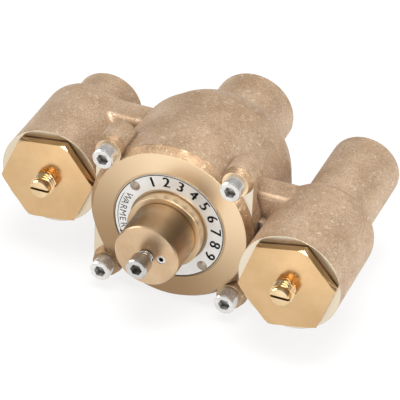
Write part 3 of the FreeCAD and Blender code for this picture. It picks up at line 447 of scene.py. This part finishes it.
@dataclass(frozen=True)
class Turned(Metal):
    """Metal cut on a lathe: fine rings round the piece's own Y axis, with a painted sheen on its
    faces and painted highlight streaks on its sides.

    Attributes:
        pitch_mm: Distance between two rings.
        around: A point of the turning axis.
        sheen_lean: Angle of the painted bright sector of its faces, in degrees.
        sheen_shade: Brightness of the faces in their painted shade, opposite that sector.
        side_sheen_shade: Brightness of the sides in their painted shade, between the painted
            streaks.
        sheen_streaks: Number of painted highlight streaks along the sides.
    """

    pitch_mm: float = 0.5
    around: Point = (0.0, 0.0, 0.0)
    sheen_lean: float = 24.0
    sheen_shade: float = 0.84
    side_sheen_shade: float = 0.72
    sheen_streaks: int = 4

    def build(self) -> bpy.types.Material:
        """Make the material.

        Returns:
            The finished material.
        """
        material, shader, place = self.start()
        tree = material.node_tree
        colour, cloud = self.tint(tree, place)
        centred = node(tree, "ShaderNodeMapping",
                       {"in:Location": (-self.around[0], 0.0, -self.around[2])},
                       {"Vector": place.outputs["Object"]})
        painted_sheen = self.paint_sheen_sector(tree, centred.outputs["Vector"], self.sheen_lean)
        square_on = self.faces_front(tree)
        painted_streaks = self.paint_streaks(tree, centred.outputs["Vector"])
        # Painted sheen on the faces and painted streaks on the sides, multiplied into the colour.
        lit = node(tree, "ShaderNodeMix", None, {0: square_on, 2: painted_streaks, 3: painted_sheen})
        least = node(tree, "ShaderNodeMix", {2: self.side_sheen_shade, 3: self.sheen_shade}, {0: square_on})
        sheen_shade = node(tree, "ShaderNodeMapRange", {"in:To Max": 1.0},
                    {"Value": lit.outputs[0], "To Min": least.outputs[0]})
        painted_sheen_colour = node(tree, "ShaderNodeMix",
                      {"data_type": "RGBA", "blend_type": "MULTIPLY", "in:Factor": 1.0},
                      {6: colour, 7: sheen_shade.outputs["Result"]})
        rings = node(tree, "ShaderNodeTexWave",
                     {"wave_type": "RINGS", "rings_direction": "Y", "in:Distortion": 0.4,
                      "in:Scale": wave_scale(self.pitch_mm), "in:Detail": 3.0},
                     {"Vector": centred.outputs["Vector"]})
        along = node(tree, "ShaderNodeTexWave",
                     {"wave_type": "BANDS", "bands_direction": "Y", "in:Distortion": 0.3,
                      "in:Scale": wave_scale(self.pitch_mm), "in:Detail": 3.0},
                     {"Vector": place.outputs["Object"]})
        marks = node(tree, "ShaderNodeMix", None,
                     {0: square_on, 2: along.outputs["Fac"], 3: rings.outputs["Fac"]})
        self.gloss(tree, cloud, shader)
        bump = node(tree, "ShaderNodeBump",
                    {"in:Distance": self.depth_mm * MM, "in:Strength": 0.6},
                    {"Height": marks.outputs[0]})
        tree.links.new(self.paint_corner_shade(tree, painted_sheen_colour.outputs[2]), shader.inputs["Base Color"])
        tree.links.new(bump.outputs["Normal"], shader.inputs["Normal"])
        return material

    def paint_streaks(self, tree: bpy.types.NodeTree, vector: Any) -> Any:
        """Painted highlights: soft bright streaks along the turned sides, as lamps all round give
        them.

        Args:
            tree: The material's nodes.
            vector: Place, counted from the turning axis.

        Returns:
            A socket from zero between the streaks to one on them.
        """
        split = node(tree, "ShaderNodeSeparateXYZ", None, {0: vector})
        angle = node(tree, "ShaderNodeMath", {"operation": "ARCTAN2"},
                     {0: split.outputs["X"], 1: split.outputs["Z"]})
        turns = node(tree, "ShaderNodeMath",
                     {"operation": "MULTIPLY", 1: float(self.sheen_streaks)}, {0: angle.outputs[0]})
        wave = node(tree, "ShaderNodeMath", {"operation": "COSINE"}, {0: turns.outputs[0]})
        share = node(tree, "ShaderNodeMapRange", {"in:From Min": -1.0}, {"Value": wave.outputs[0]})
        return share.outputs["Result"]


@dataclass(frozen=True)
class Plain(Metal):
    """Smooth or brushed stock with a fine grain and no direction."""

    def build(self) -> bpy.types.Material:
        """Make the material.

        Returns:
            The finished material.
        """
        material, shader, place = self.start()
        tree = material.node_tree
        colour, cloud = self.tint(tree, place)
        tree.links.new(self.paint_corner_shade(tree, colour), shader.inputs["Base Color"])
        self.gloss(tree, cloud, shader)
        grain = node(tree, "ShaderNodeTexNoise",
                     {"in:Scale": per_mm(self.grain_mm), "in:Detail": 4.0},
                     {"Vector": place.outputs["Object"]})
        bump = node(tree, "ShaderNodeBump",
                    {"in:Distance": self.depth_mm * MM, "in:Strength": 0.6},
                    {"Height": grain.outputs["Fac"]})
        tree.links.new(bump.outputs["Normal"], shader.inputs["Normal"])
        return material


def dress(name: str, material: bpy.types.Material) -> None:
    """Give a CAD node its material and log it.

    Args:
        name: The node.
        material: Its finish.
    """
    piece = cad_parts[name]
    piece.data.materials.clear()
    piece.data.materials.append(material)
    LOG.info("dressed %s in %s", name, material.name)


# ---------------------------------------------------------------- studio


@dataclass
class Studio:
    """Pale floor, soft lamps and the camera.

    Attributes:
        eye: Camera position.
        right: Camera's right.
        up: Camera's up.
        lens: Focal length in millimetres.
        sensor: Width of the sensor in millimetres.
        sight: How far the camera sees.
        floor_size: Length of the square floor's sides.
        floor_gap: Air between the floor and the valve.
        paper_glow: Share of the floor's white that it gives off itself.
        room_light: Strength of the white surroundings as a light.
    """

    eye: Point = (0.3761, -1.0689, 0.7194)
    right: Point = (0.92628, 0.37493, 0.03790)
    up: Point = (-0.24026, 0.51009, 0.82588)
    lens: float = 264.4
    sensor: float = 36.0
    sight: float = 10.0
    floor_size: float = 12.0
    floor_gap: float = 0.4 * MM
    paper_glow: float = 0.8
    room_light: float = 0.3

    def build(self) -> None:
        """Set up camera, floor, lamps and world."""
        self.camera()
        self.floor()
        self.lamp("overhead", (0.1, -0.1, 1.1), (0, 0, 0), (0.9, 0.7), 14)
        self.lamp("left", (-1.0, -0.5, 0.5), (0, -0.05, 0), (0.5, 0.9), 7)
        self.lamp("right", (1.0, -0.2, 0.35), (0, -0.05, 0), (0.3, 0.9), 6)
        self.lamp("front", (0.1, -1.3, 0.15), (0, -0.05, 0), (0.5, 0.25), 4)
        self.world()
        bpy.context.scene.view_settings.view_transform = "Standard"

    def camera(self) -> None:
        """Place the camera above and to the right of the valve's front."""
        bpy.ops.object.camera_add()
        camera = bpy.context.object
        right, up = Vector(self.right).normalized(), Vector(self.up).normalized()
        back = right.cross(up).normalized()
        turn = Matrix((right, up, back)).transposed().to_4x4()
        camera.matrix_world = Matrix.Translation(self.eye) @ turn
        camera.data.lens = self.lens
        camera.data.sensor_width = self.sensor
        camera.data.clip_end = self.sight
        bpy.context.scene.camera = camera

    def floor(self) -> None:
        """Lay a wide pale floor just under the valve."""
        low = CAD_BOX[0][2] - self.floor_gap
        bpy.ops.mesh.primitive_plane_add(size=self.floor_size, location=(0, 0, low))
        floor = bpy.context.object
        floor.name = "floor"
        # Lit paper is an even white that keeps only the softest shadows.
        material = bpy.data.materials.new("white studio paper")
        material.use_nodes = True
        tree = material.node_tree
        tree.nodes.clear()
        path = node(tree, "ShaderNodeLightPath")
        seen = node(tree, "ShaderNodeMath", {"operation": "MAXIMUM"},
                    {0: path.outputs["Is Camera Ray"], 1: path.outputs["Is Glossy Ray"]})
        share = node(tree, "ShaderNodeMath", {"operation": "MULTIPLY", 1: self.paper_glow},
                     {0: seen.outputs[0]})
        paper = node(tree, "ShaderNodeBsdfDiffuse", {"in:Color": linear("F4F4F4")})
        glow = node(tree, "ShaderNodeEmission", {"in:Color": (1, 1, 1, 1), "in:Strength": 1.0})
        mixed = node(tree, "ShaderNodeMixShader", None,
                     {0: share.outputs[0], 1: paper.outputs[0], 2: glow.outputs[0]})
        node(tree, "ShaderNodeOutputMaterial", None, {"Surface": mixed.outputs[0]})
        floor.data.materials.append(material)

    def lamp(self, name: str, spot: Point, aim: Point, size: tuple[float, float],
             power: float) -> None:
        """Add one soft box.

        Args:
            name: Its name.
            spot: Where it stands.
            aim: What it points at.
            size: Width and height.
            power: Watts.
        """
        bpy.ops.object.light_add(type="AREA", location=spot)
        lamp = bpy.context.object
        lamp.name = name
        lamp.data.shape = "RECTANGLE"
        lamp.data.size, lamp.data.size_y = size
        lamp.data.energy = power
        lamp.rotation_euler = (Vector(aim) - Vector(spot)).to_track_quat("-Z", "Y").to_euler()

    def world(self) -> None:
        """White surroundings for camera and reflections, dimmer as a light."""
        world = bpy.data.worlds.new("white room")
        bpy.context.scene.world = world
        world.use_nodes = True
        tree = world.node_tree
        back = tree.nodes["Background"]
        back.inputs["Color"].default_value = (1, 1, 1, 1)
        path = node(tree, "ShaderNodeLightPath")
        strength = node(tree, "ShaderNodeMapRange", {"in:To Min": self.room_light, "in:To Max": 1.0},
                        {"Value": path.outputs["Is Camera Ray"]})
        tree.links.new(strength.outputs["Result"], back.inputs["Strength"])


# ---------------------------------------------------------------- dial print


class Reading(Enum):
    """Which way a line of print on the ring plate is read."""

    CLOCKWISE = 1
    COUNTERCLOCKWISE = -1


@dataclass
class DialPrint:
    """Black ink on the dial plate: a scale of plain numbers, a word and its arrow, and a dark ring
    at its edge, which is painted shadow of the gap round the plate.

    Angles run clockwise from the top, in degrees. Lengths are in millimetres.
    """

    edge_shadow_radius: float = 25.3
    edge_shadow_width: float = 0.4
    numbers: tuple[str, ...] = ("1", "2", "3", "4", "5", "6", "7", "8", "9")
    numbers_from: float = -22.0
    numbers_to: float = 117.0
    number_size: float = 6.9
    number_line: float = 19.6
    word: str = "WARMER"
    word_from: float = -63.0
    word_step: float = -8.4
    word_size: float = 4.4
    stroke: float = 0.42
    word_line: float = 22.9
    arrow_radius: float = 23.7
    arrow_width: float = 0.3
    arrow_from: float = -61.0
    arrow_to: float = -113.0
    head_length: float = 2.2
    head_slimness: float = 0.55
    thickness: float = 0.03
    # Screen ink lies flat and dense and hardly shines.
    ink: Plain = Plain("black screen ink", "1A1A1C", "121214", (0.4, 0.5), 0.4, 0.004, 4.0, 0.0)

    def build(self) -> None:
        """Print the plate and paint the shadow ring round its edge."""
        ink = self.ink.build()
        # A dark ring at the plate's edge is painted shadow of the gap round the plate.
        edge_shadow = self.band(self.edge_shadow_radius, self.edge_shadow_width)
        self.thicken(edge_shadow)
        self.place(edge_shadow, "dial_edge_shadow", ink)
        self.place(self.line(self.numbers, self.numbers_from, self.number_step(),
                             self.number_size, self.number_line, Reading.CLOCKWISE, True),
                   "dial_numbers", ink)
        self.place(self.line(tuple(self.word), self.word_from, self.word_step, self.word_size,
                             self.word_line, Reading.COUNTERCLOCKWISE), "dial_word", ink)
        arrow = self.arrow()
        self.thicken(arrow)
        self.place(arrow, "dial_arrow", ink)

    def number_step(self) -> float:
        """Angle from one number to the next."""
        return (self.numbers_to - self.numbers_from) / (len(self.numbers) - 1)

    def face(self) -> float:
        """Front of the dial plate on Y, in metres."""
        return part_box("dial_plate")[0][1]

    def place(self, piece: bpy.types.Object, name: str, ink: bpy.types.Material) -> None:
        """Name a piece of print, ink it and fix it to the valve.

        Args:
            piece: The mesh, at its place.
            name: Its name.
            ink: Its material.
        """
        piece.name = name
        piece.data.materials.clear()
        piece.data.materials.append(ink)
        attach(piece, "valve")
        LOG.info("printed %s", name)

    def thicken(self, piece: bpy.types.Object) -> None:
        """Give a flat piece of print the thickness of ink.

        Args:
            piece: The print, still a flat sheet.
        """
        choose(piece)
        solid = piece.modifiers.new("ink", "SOLIDIFY")
        solid.thickness = self.thickness * MM
        solid.offset = 0.0
        bpy.ops.object.modifier_apply(modifier=solid.name)
        bpy.ops.object.transform_apply(location=True, rotation=True, scale=True)

    def band(self, radius: float, width: float, start: float = 0.0,
             stop: float = 360.0) -> bpy.types.Object:
        """Flat band along an arc round the plate's axis.

        Args:
            radius: Outer radius.
            width: Its width.
            start: First angle.
            stop: Last angle.

        Returns:
            The band, still without thickness.
        """
        deselect()
        bpy.ops.mesh.primitive_circle_add(vertices=ARC_STEPS, radius=radius * MM,
                                          rotation=(math.pi / 2, 0, 0))
        band = bpy.context.object
        bpy.ops.object.transform_apply(location=True, rotation=True, scale=True)
        bpy.ops.object.mode_set(mode="EDIT")
        bpy.ops.mesh.select_all(action="DESELECT")
        bpy.ops.object.mode_set(mode="OBJECT")
        for corner in band.data.vertices:
            angle = math.degrees(math.atan2(corner.co.x, corner.co.z)) % 360
            corner.select = not start <= angle <= stop
        bpy.ops.object.mode_set(mode="EDIT")
        bpy.ops.mesh.delete(type="VERT")
        bpy.ops.mesh.select_all(action="SELECT")
        bpy.ops.mesh.extrude_edges_move()
        share = (radius - width) / radius
        bpy.ops.transform.resize(value=(share, 1, share), center_override=(0, 0, 0))
        bpy.ops.mesh.select_all(action="SELECT")
        bpy.ops.transform.translate(value=(0, self.face(), 0))
        bpy.ops.object.mode_set(mode="OBJECT")
        return band

    def line(self, glyphs: Sequence[str], start: float, step: float, size: float,
             radius: float, reading: Reading, bold: bool = False) -> bpy.types.Object:
        """Letters or numbers along an arc, their feet on its radius.

        Args:
            glyphs: One text for each place.
            start: Angle of the first.
            step: Angle from one to the next.
            size: Text size.
            radius: Radius of the base line.
            reading: Tops outwards if clockwise, inwards if counterclockwise.
            bold: Whether the strokes are heavy.

        Returns:
            The whole line as one mesh.
        """
        letters = []
        for i, glyph in enumerate(glyphs):
            angle = math.radians(start + i * step)
            spot = (radius * MM * math.sin(angle), self.face(), radius * MM * math.cos(angle))
            turn = angle if reading is Reading.CLOCKWISE else angle + math.pi
            deselect()
            bpy.ops.object.text_add()
            letter = bpy.context.object
            letter.data.body = glyph
            letter.data.align_x = "CENTER"
            letter.data.size = size * MM
            letter.data.extrude = self.thickness * MM / 2
            letter.data.resolution_u = 4
            bpy.ops.object.convert(target="MESH")
            letter = bpy.context.object
            if bold:
                self.embolden(letter)
            upright = Matrix.Rotation(turn, 4, "Y") @ Matrix.Rotation(math.pi / 2, 4, "X")
            letter.matrix_world = Matrix.Translation(spot) @ upright
            bpy.ops.object.transform_apply(location=True, rotation=True, scale=True)
            letters.append(letter)
        deselect()
        for letter in letters:
            letter.select_set(True)
        bpy.context.view_layer.objects.active = letters[0]
        bpy.ops.object.join()
        return bpy.context.object

    def embolden(self, letter: bpy.types.Object) -> None:
        """Widen the strokes of a letter by doubling it sideways.

        Args:
            letter: The letter, still lying flat on X and Y.
        """
        choose(letter)
        bpy.ops.object.mode_set(mode="EDIT")
        bpy.ops.mesh.select_all(action="SELECT")
        bpy.ops.transform.translate(value=(-self.stroke * MM / 2, 0, 0))
        for _ in range(2):
            bpy.ops.mesh.duplicate()
            bpy.ops.transform.translate(value=(self.stroke * MM / 2, 0, 0))
        bpy.ops.object.mode_set(mode="OBJECT")

    def arrow(self) -> bpy.types.Object:
        """Thin arc under the word, with a pointed end.

        Returns:
            The arrow.
        """
        shaft = self.band(self.arrow_radius + self.arrow_width / 2, self.arrow_width,
                          self.arrow_to % 360, self.arrow_from % 360)
        end = math.radians(self.arrow_to)
        reach = self.arrow_radius * MM
        deselect()
        size = self.head_length * MM / TRIANGLE_HEIGHT
        bpy.ops.mesh.primitive_circle_add(vertices=3, radius=size, fill_type="NGON")
        head = bpy.context.object
        spot = Matrix.Translation((reach * math.sin(end), self.face(), reach * math.cos(end)))
        turn = Matrix.Rotation(end - math.pi / 2, 4, "Y") @ Matrix.Rotation(math.pi / 2, 4, "X")
        head.matrix_world = spot @ turn @ Matrix.Diagonal((self.head_slimness, 1.0, 1.0, 1.0))
        bpy.ops.object.transform_apply(location=True, rotation=True, scale=True)
        shaft.select_set(True)
        bpy.context.view_layer.objects.active = shaft
        bpy.ops.object.join()
        return shaft


# ---------------------------------------------------------------- threads


@dataclass
class ScrewThread:
    """The crests of a thread: one sharp ridge wound round a screw, in millimetres.

    Attributes:
        root_radius: Radius that the ridge stands on.
        pitch: Distance between two crests.
        turns: Number of crests.
        height: Crest over root.
        bedded: How far the ridge's foot is sunk in.
        steps: Facets in one turn.
    """

    root_radius: float
    pitch: float
    turns: int
    height: float
    bedded: float = 0.15
    steps: int = 64

    def build(self, name: str, body: str, slot: str, front: Point,
              material: bpy.types.Material) -> None:
        """Wind the ridge backwards from a point of the screw's axis.

        Args:
            name: Its name.
            body: Body that it rides on.
            slot: Not used.
            front: Where the thread starts, in metres.
            material: Its material.
        """
        reach = (self.height + self.bedded) / TRIANGLE_HEIGHT * MM
        middle = (self.root_radius - self.bedded) * MM + reach / 2
        deselect()
        bpy.ops.mesh.primitive_circle_add(vertices=3, radius=reach, location=(middle, 0, 0),
                                          rotation=(0, 0, -math.pi / 2))
        ridge = bpy.context.object
        bpy.ops.object.transform_apply(location=True, rotation=True, scale=True)
        winding = ridge.modifiers.new("winding", "SCREW")
        winding.axis = "Y"
        winding.angle = 2 * math.pi
        winding.screw_offset = self.pitch * MM
        winding.iterations = self.turns
        winding.steps = self.steps
        winding.render_steps = self.steps
        winding.use_smooth_shade = False
        bpy.ops.object.modifier_apply(modifier=winding.name)
        bpy.ops.object.mode_set(mode="EDIT")
        bpy.ops.mesh.select_all(action="SELECT")
        bpy.ops.mesh.fill_holes(sides=3)
        bpy.ops.mesh.select_all(action="SELECT")
        bpy.ops.mesh.normals_make_consistent(inside=False)
        bpy.ops.object.mode_set(mode="OBJECT")
        ridge.location = front
        bpy.ops.object.transform_apply(location=True, rotation=True, scale=True)
        ridge.name = name
        ridge.data.materials.append(material)
        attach(ridge, body)
        LOG.info("wound %s", name)


# ---------------------------------------------------------------- the valve


@dataclass
class Valve:
    """All the metal and rubber of the valve as CAD holds it, with its finishes.

    Attributes:
        facing_radius: The lathe has faced the cover out to this, in millimetres.
        screw_head: Height of the centre screw's head.
        slot_depth: Depth of the slot in a stop stem's nose.
        run_out: Smooth length ahead of a thread.
        seal_reveal: What shows of the faced rim behind the hot cap's washer.
        stem_thread: Thread of a stop stem.
        screw_thread: Thread of the centre screw.
        ink: What is printed on the dial.
    """

    facing_radius: float = 26.6
    screw_head: float = 6.35
    slot_depth: float = 1.6
    run_out: float = 0.5
    seal_reveal: float = 0.1
    stem_thread: ScrewThread = field(default_factory=lambda: ScrewThread(4.45, 1.6, 3, 0.6, 0.1))
    screw_thread: ScrewThread = field(default_factory=lambda: ScrewThread(3.17, 1.27, 3, 0.3, 0.3))
    # Oxide and sand leave cast bronze a dull pinkish tan, half way to bare metal.
    bronze: SandCast = SandCast("sand-cast bronze", "D0B497", "B79879", (0.4, 0.5), 0.8, 0.11,
                                14.0, 0.55)
    # The cover is the same casting, with its front and its collar faced on a lathe. The tool's
    # rings are drawn coarser than it leaves them, so that they show.
    # Its cut front and collar carry a painted sheen: a painted highlight towards the upper right and
    # painted shade opposite.
    faced: SandCast = SandCast("faced cast bronze", "BD9F7C", "96775A", (0.4, 0.5), 0.9, 0.09,
                               9.0, 0.6, machined="FFE3BC", machined_painted_shade="9E8160",
                               machined_gloss=0.3)
    # Carbon black gives the seals a flat near-black.
    rubber: Plain = Plain("nitrile rubber", "1B1B1C", "121213", (0.5, 0.65), 0.5, 0.01, 6.0, 0.0)
    # Pressed fibre is matt and reddish brown.
    fibre: Plain = Plain("red fibre washer", "5A3A2C", "3E271E", (0.6, 0.8), 0.4, 0.02, 3.0, 0.0)
    # Cold-headed stainless steel is bright grey with a soft satin. Its sockets get a deep painted
    # shade.
    steel: Plain = Plain("stainless steel", "E6E4E1", "CCC9C5", (0.2, 0.32), 0.25, 0.004, 5.0, 0.8,
                         reach_mm=2.5, corner_shade=0.16)
    # Upset rivet heads are mottled grey.
    rivet: Plain = Plain("upset steel rivet", "ADA092", "8A7D70", (0.4, 0.55), 1.2, 0.03, 1.6, 0.8)
    # Drawn spring wire is a darker, oily grey.
    spring: Plain = Plain("spring wire", "A9ABAE", "85888C", (0.2, 0.35), 0.2, 0.004, 3.0)
    # Drawn copper is salmon coloured and smooth.
    copper: Plain = Plain("drawn copper", "C98F6B", "A66E4C", (0.25, 0.4), 0.3, 0.005, 6.0)
    # Brushed and clear-coated sheet is a pale grey that hardly mirrors.
    sheet: Plain = Plain("brushed aluminium sheet", "DEDDDA", "D2D0CC", (0.34, 0.42), 0.3, 0.004,
                         7.0, 0.45)
    ink: DialPrint = field(default_factory=DialPrint)

    def build(self) -> None:
        """Dress every CAD node and print the dial."""
        hot_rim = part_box("hot_cap_seal")[1][1] + self.seal_reveal * MM
        dress("valve_body", replace(self.bronze, cut_limit=hot_rim).build())
        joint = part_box("valve_body")[1][1]
        dress("front_cover", replace(self.faced, cut_limit=joint,
                                     cut_radius_mm=self.facing_radius).build())
        rubber, fibre, steel = self.rubber.build(), self.fibre.build(), self.steel.build()
        spring, copper = self.spring.build(), self.copper.build()
        # Free-cutting brass off the lathe is a warm brownish gold with fine rings. They are
        # drawn coarser than a tool leaves them, so that they show; so are those below.
        # Its faces carry a painted sheen and its sides painted highlight streaks with painted shade
        # between them.
        brass = Turned("turned brass", "E0C3A0", "CDAC88", (0.3, 0.38), 0.3, 0.002, 14.0,
                       pitch_mm=1.6, sheen_shade=0.86, side_sheen_shade=0.32).build()
        dress("dial_plate", self.sheet.build())
        dress("dial_rivets", self.rivet.build())
        for name in ("cover_screws", "cap_set_screw", "spindle_clip", "thrust_pad", "pad_clip",
                     "element_piston"):
            dress(name, steel)
        for name in ("cover_seal", "spindle_seal", "liner_seals"):
            dress(name, rubber)
        for name in ("overtravel_spring", "return_spring"):
            dress(name, spring)
        for name in ("adjusting_cap", "adjusting_spindle", "drive_nut", "shuttle",
                     "liner_sleeve", "rear_spring_seat"):
            dress(name, brass)
        dress("element_capsule", copper)
        self.centre_screw()
        for side in Side:
            self.inlet(side, rubber, fibre, spring)
        self.ink.build()

    def centre_screw(self) -> None:
        """Dress the screw in the adjusting cap, with the thread that shows behind its head."""
        # Rolled stainless steel breaks the light into bright lines; here they are painted highlight
        # streaks along its sides, with a painted sheen on its faces.
        screw = Turned("rolled stainless steel", "D9D6D3", "BFBAB5", (0.16, 0.28), 0.25, 0.004,
                       5.0, pitch_mm=0.6, sheen_shade=0.9, side_sheen_shade=0.7).build()
        dress("cap_screw", screw)
        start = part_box("cap_screw")[0][1] + (self.screw_head + self.run_out) * MM
        self.screw_thread.build("cap_screw_thread", "adjuster", "stainless", (0.0, start, 0.0),
                                screw)

    def inlet(self, side: Side, rubber: bpy.types.Material, fibre: bpy.types.Material,
              spring: bpy.types.Material) -> None:
        """Dress the check stop of one side.

        Args:
            side: Which inlet.
            rubber: Finish of its seals.
            fibre: Finish of its cap's washer.
            spring: Finish of its spring.
        """
        lead = side.value
        axis = tuple(centre_of(lead + "_stop_stem"))
        # Hexagon bar faced and lightly polished is the brightest brass on the valve. Its faces carry
        # a narrow painted sheen.
        face = Turned(lead + " faced hexagon brass", "F0CA98", "E2BA88", (0.16, 0.24), 0.3, 0.005,
                      14.0, pitch_mm=1.1, around=axis, sheen_shade=0.76, sheen_focus=3.5).build()
        # The stop stem is of the same bar, and its thread's crests are the brightest spots.
        # Its faces carry a painted sheen and its sides painted highlight streaks.
        stem = Turned(lead + " threaded brass", "F8DCB0", "E8C898", (0.14, 0.24), 0.3, 0.005, 5.0,
                      pitch_mm=0.4, around=axis).build()
        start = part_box(lead + "_stop_stem")[0][1] + (self.slot_depth + self.run_out) * MM
        self.stem_thread.build(lead + "_stem_thread", lead + "_stem", "turned_brass",
                               (axis[0], start, axis[2]), stem)
        dress(lead + "_check_cap", face)
        dress(lead + "_stop_stem", stem)
        dress(lead + "_check_poppet", face)
        dress(lead + "_cap_seal", fibre)
        dress(lead + "_check_spring", spring)
        for name in ("_stem_seal", "_poppet_seal"):
            dress(lead + name, rubber)


def main() -> None:
    """Build the scene in order."""
    logging.basicConfig(level=logging.INFO, format="%(name)s: %(message)s")
    Studio().build()
    Valve().build()


if __name__ == "__main__":
    main()
